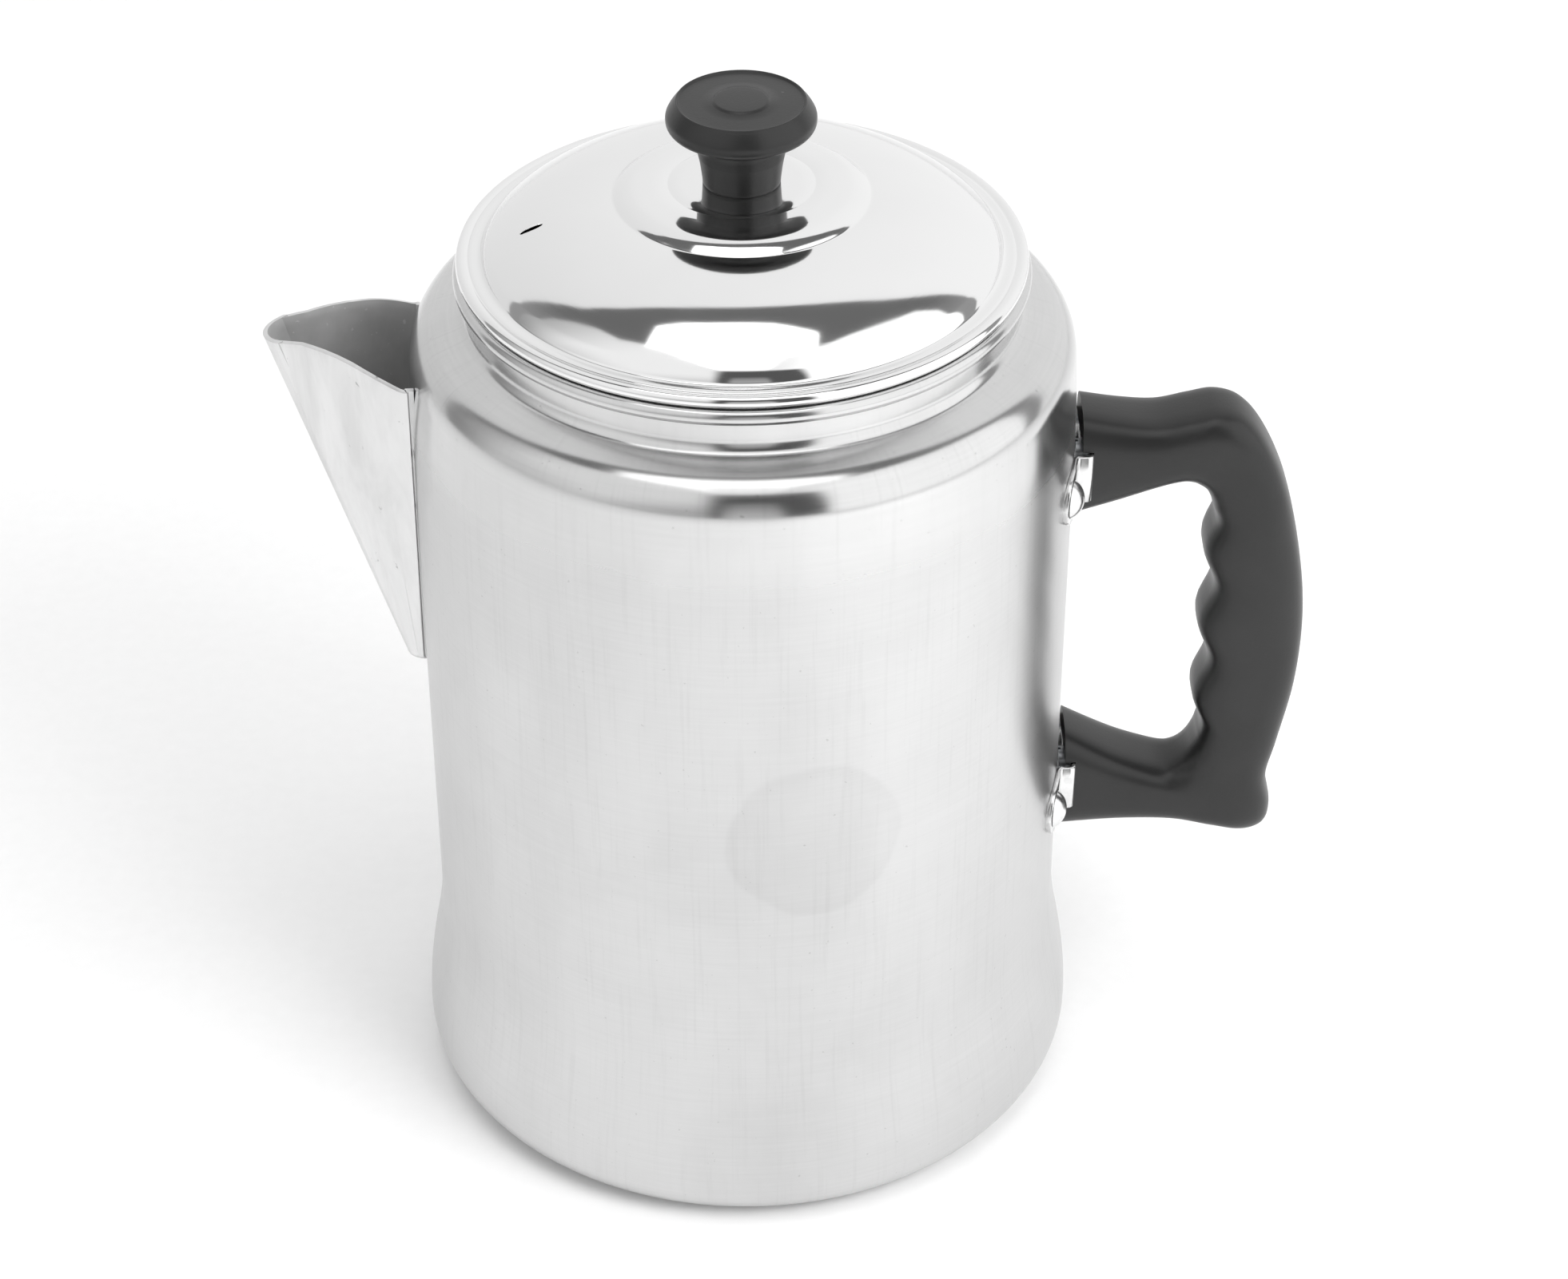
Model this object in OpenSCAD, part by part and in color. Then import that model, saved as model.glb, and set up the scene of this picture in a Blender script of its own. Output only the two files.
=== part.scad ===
// Aluminium coffee pot with a folded V spout, a lift-off domed lid and a riveted moulded handle.
// Millimetres. The origin is on the body's axis, in the plane the pot stands on.
// +Z is up, the handle is on +X and the spout is on -X.

/* [Body] */
// Outside radius of the straight wall
wall_r = 75; // [70:0.5:80]
// Sheet thickness of the body
sheet = 1.2; // [1:0.1:1.4]
// Outside radius of the flared foot
foot_r = 79.6; // [78:0.1:81]
// Height at which the flare meets the straight wall
flare_top = 49; // [42:1:54]
// Height of the centre of the shoulder's round
shoulder_z = 195.6; // [193:0.1:197]
// Outside radius of the neck above the shoulder
neck_r = 61.4; // [61.2:0.1:61.6]
// Radius of the rolled bead around the mouth
bead_r = 1.8; // [1.6:0.1:1.9]
// Diameter of each strainer hole behind the spout
strainer_d = 3.6; // [3:0.1:3.8]

/* [Lid] */
// Sheet thickness of the lid
lid_sheet = 1; // [0.8:0.1:1.1]
// Radius of the crease where the dome meets the flat rim
dome_r = 57.2; // [57:0.1:57.4]
// Radius of the raised seat under the knob
seat_r = 28.1; // [26:0.1:30]
// Depth of the collar that drops into the neck
collar_depth = 9; // [6:0.5:12]

/* [Knob] */
// Largest radius of the knob
knob_r = 16.35; // [15:0.05:18]
// Height of the knob above its seat
knob_h = 19.6; // [18:0.1:22]

/* [Handle] */
// Thickness of the handle, side to side
handle_t = 20; // [16:1:24]
// Height of the upper bracket's centre
upper_z = 165.6; // [162:0.1:167]
// Height of the lower bracket's centre
lower_z = 77; // [74:0.5:79]
// Distance between the finger hollows
finger_pitch = 21; // [20:0.5:22]

/* [Hidden] */
$fn = 96;
tiny = 0.02;

// Body profile
recess = 2;
recess_r = 58;
stand_r = 61;
foot_edge = [10.2, 9.8];
shoulder_top_r = 74.3;
shoulder_round = 9.5;
shoulder_slope = 70;
neck_round = 3;
taper_z = 174.6;
bead_c = [neck_r + 0.5, 215.2];

// Lid profile
curl_r = 1.4;
curl_c = [61.5, 218.7];
rim_under_z = 219.4;
crown_round = 44.7;
edge_round = 7.35;
edge_slope = [40, 65];
seat_z = 236.6;
seat_flat_r = 9;
seat_edge = [24.2, 235.6];
collar_r = 59.4;
collar_foot_r = 60.1;

// Knob and its fixing
knob_neck_r = 9.5;
knob_stem_r = 8.5;
knob_insert_r = 3.5;
knob_insert_h = 12;
knob_screw_r = 2;
knob_screw_hole_r = 2.2;
knob_screw_l = 11;
washer_r = 6;
washer_t = 1;
screw_head = [3.9, 2.4];

// Brackets, rivets and handle fixings
strap_t = 1.2;
strap_h = 12;
ear_y = 19;
plate_x = wall_r + 2.7;
plate_half = 10.5;
rivet_r = 2;
rivet_head_r = 4.5;
rivet_head_h = 2.5;
rivet_tail_r = 3.3;
rivet_tail_h = 1.1;
end_x = wall_r + 1.4;
stud_r = 2;
stud_hole_r = 2.2;
insert_r = 3.2;
insert_l = 10;
stud_l = 9;
stud_head = [3.3, 1.5];
spring_washer = [3.2, 0.7];

// Points on an arc about c, with radii r = [across, up], from angle a0 to a1
function arc_pts(c, r, a0, a1, n) =
    [for (i = [0:n]) let (a = a0 + (a1 - a0) * i / n) [c[0] + r[0] * cos(a), c[1] + r[1] * sin(a)]];
// Direction of travel at point i of a line of points
function travel(p, i) = let (d = p[min(i + 1, len(p) - 1)] - p[max(i - 1, 0)]) d / norm(d);
// The line moved to the left of its direction of travel by d
function shifted(p, d) = [for (i = [0:len(p) - 1]) let (t = travel(p, i)) p[i] + d * [-t[1], t[0]]];
function reversed(p) = [for (i = [len(p) - 1:-1:0]) p[i]];
function without_first(p) = [for (i = [1:len(p) - 1]) p[i]];
// Smooth curve through a list of points, s steps to each span
function spline(p, s) = concat(
    [for (i = [0:len(p) - 2], k = [0:s - 1])
        let (a = p[max(i - 1, 0)], b = p[i], c = p[i + 1], d = p[min(i + 2, len(p) - 1)], t = k / s)
        0.5 * (2 * b + t * (c - a) + t * t * (2 * a - 5 * b + 4 * c - d) + t * t * t * (3 * (b - c) + d - a))],
    [p[len(p) - 1]]);

// The body: recessed base, rounded foot, flare, straight wall, shoulder and neck
straight_len = (shoulder_top_r - neck_r - (shoulder_round + neck_round) * (1 - cos(shoulder_slope)))
    / sin(shoulder_slope);
neck_z = shoulder_z + (shoulder_round + neck_round) * sin(shoulder_slope) + straight_len * cos(shoulder_slope);
body_outside = concat(
    [[0, recess], [recess_r, recess]],
    [[stand_r, 0]],
    arc_pts([foot_r - foot_edge[0], foot_edge[1]], foot_edge, -90, 0, 10),
    [for (i = [1:9]) let (t = i / 9)
        [foot_r - (foot_r - wall_r) * (1 - cos(180 * t)) / 2, foot_edge[1] + (flare_top - foot_edge[1]) * t]],
    [[wall_r, taper_z], [wall_r - 0.15, (taper_z + shoulder_z) / 2]],
    arc_pts([shoulder_top_r - shoulder_round, shoulder_z], [shoulder_round, shoulder_round], 0, shoulder_slope, 8),
    arc_pts([neck_r + neck_round, neck_z], [neck_round, neck_round], 180 + shoulder_slope, 180, 4),
    [[neck_r, bead_c[1]]]);

module body_profile() {
    polygon(concat(body_outside, reversed(shifted(body_outside, sheet)), [[0, recess + sheet]]));
    translate(bead_c) circle(r = bead_r);
}

// Rows of strainer holes, each row as wide as the spout leaves room for
hole_top = 184.6;
hole_rows = 8;
hole_step = 8;
hole_gap = 7;
module strainer_holes() {
    for (row = [0:hole_rows - 1]) {
        count = max(1, 5 - floor(row * 0.6));
        for (k = [0:count - 1])
            rotate([0, 0, 180 + ((k - (count - 1) / 2) * hole_gap / wall_r) * 180 / PI])
                translate([wall_r - 4, 0, hole_top - row * hole_step])
                    rotate([0, 90, 0]) cylinder(d = strainer_d, h = 6, $fn = 24);
    }
}

// Places children at both rivets of both brackets, with +X pointing out of the wall
module at_rivets() {
    for (z = [lower_z, upper_z], side = [-1, 1])
        translate([0, 0, z]) rotate([0, 0, side * asin(ear_y / wall_r)]) children();
}

module body_shell() {
    color("silver") difference() {
        rotate_extrude($fn = 180) body_profile();
        strainer_holes();
        at_rivets() translate([wall_r - 4, 0, 0]) rotate([0, 90, 0]) cylinder(r = rivet_r, h = 8, $fn = 32);
    }
}

// Spout: a folded V with a round nose, open at the top and at the wall
spout_tip_x = -106.7;
spout_rim_z = [194.6, 199.2];
spout_root_y = 19.8;
nose_r = [7.5, 2.6];
keel_end = [-79.8, 109.6];
spout_sheet = 1.1;
module spout_plan(inset) {
    hull() {
        translate([spout_tip_x + nose_r[0], 0]) circle(r = nose_r[0] - inset, $fn = 48);
        translate([-wall_r + 12, -spout_root_y - 4 + inset * 1.1]) square([1, 2 * (spout_root_y + 4 - inset * 1.1)]);
    }
}
module spout_solid(inset) {
    tilt = atan((spout_rim_z[1] - spout_rim_z[0]) / (-spout_tip_x - wall_r));
    hull() {
        translate([-wall_r, 0, spout_rim_z[0]]) rotate([0, tilt, 0]) translate([wall_r, 0, -1])
            linear_extrude(1 + (inset > 0 ? 1 : 0)) spout_plan(inset);
        translate([keel_end[0] + nose_r[1], 0, keel_end[1] + nose_r[1]])
            rotate([0, 90, 0]) cylinder(r = nose_r[1] + 3 - inset, h = 12, $fn = 32);
        translate([keel_end[0] + nose_r[1], 0, keel_end[1] + 2]) sphere(r = nose_r[1] - inset * 0.9, $fn = 32);
    }
}
module spout() {
    color("gainsboro") difference() {
        spout_solid(0);
        spout_solid(spout_sheet);
        cylinder(r = wall_r + tiny, h = 2 * shoulder_z, $fn = 256);
    }
}

// Handle outline in the XZ plane: two arms and a grip with finger hollows
arm_x = end_x - 8;
handle_outer = spline([[arm_x, 180], [end_x, 179.2], [85, 177.6], [93.5, 176.8], [101, 178.4], [107.5, 179.6],
    [113.5, 177.4], [119, 170.4], [124.4, 158], [128.6, 140.5], [130.9, 122.5], [130.4, 103.5], [127.6, 86.5],
    [125.7, 76], [127.2, 67], [126.2, 61.6], [121.5, 59.6], [114, 61], [103.5, 63.3], [90, 63.2],
    [end_x, 61.6], [arm_x, 61]], 4);
grip_x = 107.7;
finger_depth = 1.5;
grip_mid_z = 120.6;
finger_grip = [for (i = [0:20]) let (z = 90.6 + 60 * i / 20)
    [grip_x - finger_depth * cos(360 * (z - grip_mid_z) / finger_pitch), z]];
handle_inner = concat(
    spline([[arm_x, 94.5], [end_x, 89.6], [85, 84.6], [93, 81.2], [100.5, 78.6], [105.5, 81.6], [grip_x + 1, 87.6]], 3),
    finger_grip,
    spline([[grip_x, 154], [104.8, 159.6], [100, 161.2], [93.5, 159.4], [85, 156], [end_x, 152.8], [arm_x, 150]], 3));
// Half-thickness and inset of each layer that rounds the edges over
handle_layers = [[handle_t / 2, 3.6], [handle_t / 2 - 1.2, 1.8], [handle_t / 2 - 3, 0.6], [handle_t / 2 - 5, 0]];

module handle() {
    color("#1c1c1c") difference() {
        union() {
            for (layer = handle_layers)
                rotate([90, 0, 0]) translate([0, 0, -layer[0]])
                    linear_extrude(2 * layer[0])
                        polygon(concat(shifted(handle_outer, -layer[1]), shifted(handle_inner, -layer[1])));
        }
        for (z = [lower_z, upper_z]) {
            translate([end_x - 5, -handle_t, z - strap_h / 2 - 0.2])
                cube([plate_x + strap_t - end_x + 5, 2 * handle_t, strap_h + 0.4]);
            translate([plate_x, 0, z]) rotate([0, 90, 0]) cylinder(r = insert_r, h = strap_t + insert_l, $fn = 48);
        }
        translate([end_x - 20, -handle_t, 0]) cube([20, 2 * handle_t, 2 * shoulder_z]);
    }
}

// A bracket seen from above: a flat seat for the handle, two legs and two ears on the wall
module strap_plan() {
    difference() {
        circle(r = wall_r + strap_t, $fn = 256);
        circle(r = wall_r, $fn = 256);
        translate([-2 * wall_r, -wall_r * 2]) square([2 * wall_r + 40, 4 * wall_r]);
        translate([0, -plate_half]) square([2 * wall_r, 2 * plate_half]);
    }
    translate([plate_x, -plate_half - strap_t]) square([strap_t, 2 * (plate_half + strap_t)]);
    for (side = [-1, 1])
        translate([wall_r - 1.1, side > 0 ? plate_half : -plate_half - strap_t])
            square([plate_x - wall_r + 1.1 + strap_t, strap_t]);
}
module bracket(z) {
    color("lightgrey") difference() {
        intersection() {
            translate([0, 0, z - strap_h / 2]) linear_extrude(strap_h) strap_plan();
            translate([0, 0, z]) rotate([90, 0, 90]) linear_extrude(2 * wall_r) {
                square([2 * ear_y, strap_h], center = true);
                for (side = [-1, 1]) translate([side * ear_y, 0]) circle(d = strap_h, $fn = 64);
            }
        }
        cylinder(r = wall_r, h = 2 * shoulder_z, $fn = 256);
        translate([plate_x - 1, 0, z]) rotate([0, 90, 0]) cylinder(r = stud_hole_r, h = 4, $fn = 32);
        for (side = [-1, 1])
            translate([0, 0, z]) rotate([0, 0, side * asin(ear_y / wall_r)])
                translate([wall_r - 4, 0, 0]) rotate([0, 90, 0]) cylinder(r = rivet_r, h = 8, $fn = 32);
    }
}
module upper_bracket() {
    bracket(upper_z);
}
module lower_bracket() {
    bracket(lower_z);
}

// Rivet along +Z from inside the wall: flat tail, shank and domed head
module rivet() {
    dome_r_c = (rivet_head_r * rivet_head_r + rivet_head_h * rivet_head_h) / (2 * rivet_head_h);
    grip = sheet + strap_t;
    rotate_extrude($fn = 48) {
        translate([0, -rivet_tail_h]) square([rivet_tail_r, rivet_tail_h]);
        square([rivet_r, grip + 0.2]);
        intersection() {
            translate([0, grip + rivet_head_h - dome_r_c]) circle(r = dome_r_c, $fn = 96);
            translate([0, grip]) square([rivet_head_r, rivet_head_h]);
        }
    }
}
module bracket_rivets() {
    color("whitesmoke") at_rivets() translate([wall_r - sheet, 0, 0]) rotate([0, 90, 0]) rivet();
}

// Fixings that hold each bracket to the handle before it is riveted to the wall
module at_studs() {
    for (z = [lower_z, upper_z]) translate([plate_x, 0, z]) rotate([0, 90, 0]) children();
}
module handle_inserts() {
    color("goldenrod") at_studs() translate([0, 0, strap_t]) difference() {
        cylinder(r = insert_r, h = insert_l, $fn = 48);
        translate([0, 0, -1]) cylinder(r = stud_r, h = insert_l - 1, $fn = 32);
    }
}
module handle_screws() {
    color("dimgray") at_studs() {
        translate([0, 0, -spring_washer[1]]) cylinder(r = stud_r, h = stud_l, $fn = 32);
        translate([0, 0, -spring_washer[1] - stud_head[1]]) difference() {
            cylinder(r = stud_head[0], h = stud_head[1], $fn = 48);
            translate([-stud_head[0], -0.4, -1]) cube([2 * stud_head[0], 0.8, 1.6]);
        }
    }
}
module handle_spring_washers() {
    color("gray") at_studs() translate([0, 0, -spring_washer[1]]) difference() {
        cylinder(r = spring_washer[0], h = spring_washer[1], $fn = 48);
        translate([0, 0, -1]) cylinder(r = stud_hole_r, h = 3, $fn = 32);
        translate([0, -0.3, -1]) cube([5, 0.6, 3]);
    }
}

// Lid: seat under the knob, round crown, steep edge, flat rim and rolled curl
crown_from = [seat_r, 233.5];
crown_to = [55.26, 223.07];
function crown_pts(n) =
    let (mid = (crown_from + crown_to) / 2, half = norm(crown_to - crown_from) / 2,
         dir = (crown_to - crown_from) / (2 * half),
         c = mid - sqrt(crown_round * crown_round - half * half) * [-dir[1], dir[0]],
         a0 = atan2(crown_from[1] - c[1], crown_from[0] - c[0]),
         a1 = atan2(crown_to[1] - c[1], crown_to[0] - c[0]))
    arc_pts(c, [crown_round, crown_round], a0, a1, n);
edge_c = crown_to - edge_round * [sin(edge_slope[0]), cos(edge_slope[0])];
lid_top = concat(
    [[0, seat_z], [seat_flat_r, seat_z], seat_edge],
    crown_pts(8),
    without_first(arc_pts(edge_c, [edge_round, edge_round], 90 - edge_slope[0], 90 - edge_slope[1], 5)));
lid_under = shifted(lid_top, -lid_sheet);
// The curl starts at the rim's top and rolls round until it meets the rim's underside
curl_from = 95;
curl_to = -180 - asin((rim_under_z - curl_c[1]) / curl_r);
module lid_profile() {
    polygon(concat(
        lid_top,
        arc_pts(curl_c, [curl_r, curl_r], curl_from, curl_to, 22),
        [[dome_r - lid_sheet, rim_under_z]],
        reversed([for (p = lid_under) if (p[1] > rim_under_z + 0.2) [max(p[0], 0), p[1]]])));
}
vent_at = [-45.6, -7.1, 228.6];
module lid_shell() {
    color("silver") difference() {
        rotate_extrude($fn = 180) lid_profile();
        translate([0, 0, seat_z - 5]) cylinder(r = knob_screw_hole_r, h = 10, $fn = 32);
        translate(vent_at) cube([5, 1.2, 8], center = true);
    }
}
module lid_collar() {
    color("silver") rotate_extrude($fn = 180) {
        translate([collar_r - lid_sheet, rim_under_z - collar_depth - lid_sheet])
            square([lid_sheet, collar_depth + lid_sheet]);
        translate([collar_r - lid_sheet, rim_under_z - lid_sheet])
            square([collar_foot_r - collar_r + lid_sheet - tiny, lid_sheet]);
    }
}

// Knob turned profile, from the seat up
knob_side = concat(
    [[knob_stem_r, seat_z], [knob_neck_r, seat_z + 7.2]],
    arc_pts([knob_neck_r + 5, seat_z + 8.6], [5, 4.2], 180, 95, 6),
    [[knob_r - 0.9, seat_z + 13.2]],
    arc_pts([knob_r - 1.3, seat_z + 15.2], [1.3, 1.6], -45, 50, 5),
    [[14.3, seat_z + knob_h - 0.5], [14, seat_z + knob_h - 0.3], [13.8, seat_z + knob_h - 0.6],
     [13.6, seat_z + knob_h - 0.25], [6, seat_z + knob_h]]);
module knob() {
    color("#1c1c1c") rotate_extrude($fn = 128)
        polygon(concat(
            [[knob_insert_r, seat_z]], knob_side,
            [[0, seat_z + knob_h], [0, seat_z + knob_insert_h + 1], [knob_insert_r, seat_z + knob_insert_h + 1]]));
}
module knob_insert() {
    color("goldenrod") translate([0, 0, seat_z]) difference() {
        cylinder(r = knob_insert_r, h = knob_insert_h, $fn = 48);
        translate([0, 0, -1]) cylinder(r = knob_screw_r, h = knob_insert_h, $fn = 32);
    }
}
module knob_screw() {
    head_top = seat_z - lid_sheet - washer_t;
    color("lightsteelblue") {
        translate([0, 0, head_top]) cylinder(r = knob_screw_r, h = knob_screw_l, $fn = 32);
        translate([0, 0, head_top - screw_head[1]]) difference() {
            cylinder(r = screw_head[0], h = screw_head[1], $fn = 48);
            for (a = [0, 90]) rotate([0, 0, a]) translate([-2.2, -0.45, -1]) cube([4.4, 0.9, 2.4]);
        }
    }
}
module knob_washer() {
    color("lightgrey") translate([0, 0, seat_z - lid_sheet - washer_t]) difference() {
        cylinder(r = washer_r, h = washer_t, $fn = 64);
        translate([0, 0, -1]) cylinder(r = knob_screw_hole_r, h = 3, $fn = 32);
    }
}

body_shell();
spout();
handle();
upper_bracket();
lower_bracket();
bracket_rivets();
handle_inserts();
handle_screws();
handle_spring_washers();
lid_shell();
lid_collar();
knob();
knob_insert();
knob_screw();
knob_washer();
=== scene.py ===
"""Aluminium coffee pot with a folded V spout, a lift-off domed lid and a riveted moulded handle.

Outlines are in millimetres, and become metres when a mesh is made. The pot stands on Z = 0,
with its handle on +X and its spout on -X.
"""
import math

import bmesh
import bpy
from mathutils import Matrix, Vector


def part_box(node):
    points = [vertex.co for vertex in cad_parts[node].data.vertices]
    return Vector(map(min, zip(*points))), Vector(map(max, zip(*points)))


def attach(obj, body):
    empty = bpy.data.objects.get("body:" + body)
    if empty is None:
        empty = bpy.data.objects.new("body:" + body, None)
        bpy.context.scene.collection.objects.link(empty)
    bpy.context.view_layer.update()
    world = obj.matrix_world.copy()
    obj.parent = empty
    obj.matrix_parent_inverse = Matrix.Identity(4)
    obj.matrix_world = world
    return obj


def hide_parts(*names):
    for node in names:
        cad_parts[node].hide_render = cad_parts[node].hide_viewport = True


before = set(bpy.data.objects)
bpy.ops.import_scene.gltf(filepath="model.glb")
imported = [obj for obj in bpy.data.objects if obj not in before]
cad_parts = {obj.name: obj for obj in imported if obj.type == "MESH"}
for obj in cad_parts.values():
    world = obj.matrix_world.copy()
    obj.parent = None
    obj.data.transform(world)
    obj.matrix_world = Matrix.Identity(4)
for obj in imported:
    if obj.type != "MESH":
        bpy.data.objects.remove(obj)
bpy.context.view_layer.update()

MM = 0.001

# Sizes shared by several pieces, in millimetres. The body's wall, sheet and neck, and the bead round
# the neck's top as (radius to its middle, height, its own radius)
WALL_R = 75
SHEET = 1.2
NECK_R = 61.4
BEAD = (61.9, 215.2, 1.8)
# The flat place on the lid that the knob stands on
SEAT_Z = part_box("knob")[0].z / MM
# The straps that hold the handle: thickness, height, how far out the rivets are, and the seat's place
STRAP_T = 1.2
STRAP_H = 12
EAR_Y = 19
PLATE_X = 78.3


def mid_height(node):
    """The height of a CAD node's middle, in millimetres."""
    low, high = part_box(node)
    return (low.z + high.z) / 2 / MM


UPPER_Z = mid_height("upper_bracket")
LOWER_Z = mid_height("lower_bracket")


# ---------------------------------------------------------------- outlines

def arc(centre, radii, start, end, steps):
    """Points on an elliptical arc from one angle to another, in degrees."""
    points = []
    for i in range(steps + 1):
        a = math.radians(start + (end - start) * i / steps)
        points.append((centre[0] + radii[0] * math.cos(a), centre[1] + radii[1] * math.sin(a)))
    return points


def curve(points, steps):
    """A smooth curve through points of any dimension, with this many steps to each span."""
    made = []
    last = len(points) - 1
    for i in range(last):
        a, b, c, d = points[max(i - 1, 0)], points[i], points[i + 1], points[min(i + 2, last)]
        for k in range(steps):
            t = k / steps
            made.append(tuple(
                0.5 * (2 * q + t * (r - p) + t * t * (2 * p - 5 * q + 4 * r - s)
                       + t * t * t * (3 * (q - r) + s - p))
                for p, q, r, s in zip(a, b, c, d)))
    made.append(tuple(points[last]))
    return made


def arc_centre(start, end, radius):
    """The centre of an arc of this radius from start to end, bulging to the left of that way."""
    (sx, sy), (ex, ey) = start, end
    half = math.hypot(ex - sx, ey - sy) / 2
    nx, ny = -(ey - sy) / (2 * half), (ex - sx) / (2 * half)
    drop = math.sqrt(radius * radius - half * half)
    return (sx + ex) / 2 - nx * drop, (sy + ey) / 2 - ny * drop


def chord_arc(start, end, radius, steps):
    """Points on that arc, from start to end."""
    (sx, sy), (ex, ey) = start, end
    cx, cy = arc_centre(start, end, radius)
    a0 = math.degrees(math.atan2(sy - cy, sx - cx))
    a1 = math.degrees(math.atan2(ey - cy, ex - cx))
    return arc((cx, cy), (radius, radius), a0, a1, steps)


def offset(points, distance):
    """The line moved to the left of its own direction."""
    made = []
    for i, (x, y) in enumerate(points):
        before, after = points[max(i - 1, 0)], points[min(i + 1, len(points) - 1)]
        dx, dy = after[0] - before[0], after[1] - before[1]
        size = math.hypot(dx, dy)
        made.append((x - dy / size * distance, y + dx / size * distance))
    return made


def soften(points, reach, steps):
    """Rounds every inner corner of a line, starting this far before and after it."""
    made = [points[0]]
    for a, b, c in zip(points, points[1:], points[2:]):
        to_a = Vector(a) - Vector(b)
        to_c = Vector(c) - Vector(b)
        start = Vector(b) + to_a.normalized() * min(reach, to_a.length / 2)
        end = Vector(b) + to_c.normalized() * min(reach, to_c.length / 2)
        for k in range(steps + 1):
            t = k / steps
            made.append(tuple((1 - t) ** 2 * start + 2 * t * (1 - t) * Vector(b) + t * t * end))
    made.append(points[-1])
    return made


# ---------------------------------------------------------------- meshes

def new_piece(name, verts, faces, sharp_angle=35, along=None):
    """An object from points in millimetres, smooth except where faces meet at a sharp angle.

    along, where it is given, is one number for each point, which materials can read."""
    mesh = bpy.data.meshes.new(name)
    mesh.from_pydata([tuple(c * MM for c in v) for v in verts], [], faces)
    mesh.validate()
    if along:
        mesh.attributes.new("along", "FLOAT", "POINT").data.foreach_set("value", along)
    piece = bpy.data.objects.new(name, mesh)
    bpy.context.scene.collection.objects.link(piece)
    finish_mesh(piece, sharp_angle)
    return piece


def finish_mesh(piece, sharp_angle=35):
    """Merges double points, turns the faces outwards and sets which edges look sharp."""
    bm = bmesh.new()
    bm.from_mesh(piece.data)
    bmesh.ops.remove_doubles(bm, verts=bm.verts, dist=1e-7)
    bmesh.ops.recalc_face_normals(bm, faces=bm.faces)
    bm.to_mesh(piece.data)
    bm.free()
    shade(piece, sharp_angle)


def shade(piece, sharp_angle):
    """Smooth, with a hard edge where faces meet at more than this angle in degrees."""
    piece.data.shade_smooth()
    piece.data.set_sharp_from_angle(angle=math.radians(sharp_angle))


def lathe(name, outline, segments=256, sharp_angle=35):
    """A closed outline of (radius, height), turned about Z. along is the length along the outline."""
    verts, faces, along, rings = [], [], [], []
    length = 0
    for i, (r, z) in enumerate(outline):
        if i:
            length += math.dist(outline[i - 1], (r, z))
        on_axis = r < 1e-6
        ring = []
        for k in range(1 if on_axis else segments):
            a = 2 * math.pi * k / segments
            ring.append(len(verts))
            verts.append((r * math.cos(a), r * math.sin(a), z))
            along.append(length * MM)
        rings.append(ring)
    for one, two in zip(rings, rings[1:] + rings[:1]):
        for k in range(segments):
            m = (k + 1) % segments
            corners = [one[k % len(one)], one[m % len(one)], two[m % len(two)], two[k % len(two)]]
            face = list(dict.fromkeys(corners))
            if len(face) > 2:
                faces.append(face)
    return new_piece(name, verts, faces, sharp_angle, along)


def skin(name, rings, sharp_angle=35):
    """A closed solid through rings of the same number of points, with a flat cap at each end."""
    count = len(rings[0])
    verts = [p for ring in rings for p in ring]
    faces = []
    for i in range(len(rings) - 1):
        for k in range(count):
            m = (k + 1) % count
            faces.append([i * count + k, i * count + m, (i + 1) * count + m, (i + 1) * count + k])
    faces.append(list(range(count)))
    faces.append([(len(rings) - 1) * count + k for k in range(count)])
    return new_piece(name, verts, faces, sharp_angle)


def cut(piece, cutters, sharp_angle=35):
    """Takes the cutters away from the piece, and removes them."""
    for cutter in cutters:
        modifier = piece.modifiers.new("cut", "BOOLEAN")
        modifier.operation = "DIFFERENCE"
        modifier.solver = "MANIFOLD"
        modifier.object = cutter
    bake_modifiers(piece)
    piece.data.materials.clear()
    for cutter in cutters:
        bpy.data.objects.remove(cutter)
    shade(piece, sharp_angle)


def bake_modifiers(piece):
    """Replaces the mesh with what its modifiers make of it."""
    graph = bpy.context.evaluated_depsgraph_get()
    made = bpy.data.meshes.new_from_object(piece.evaluated_get(graph))
    piece.modifiers.clear()
    piece.data = made


def box_cutter(low, high):
    """A box from its lowest to its highest corner, in millimetres."""
    (x0, y0, z0), (x1, y1, z1) = low, high
    verts = [(x, y, z) for x in (x0, x1) for y in (y0, y1) for z in (z0, z1)]
    faces = [(0, 1, 3, 2), (4, 6, 7, 5), (0, 4, 5, 1), (2, 3, 7, 6), (0, 2, 6, 4), (1, 5, 7, 3)]
    return new_piece("cutter", verts, faces)


def join(name, pieces):
    """Joins meshes into the first one."""
    main = pieces[0]
    bm = bmesh.new()
    for piece in pieces:
        bm.from_mesh(piece.data)
    bm.to_mesh(main.data)
    bm.free()
    for piece in pieces[1:]:
        bpy.data.objects.remove(piece)
    main.name = name
    return main


# ---------------------------------------------------------------- material helpers

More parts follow.
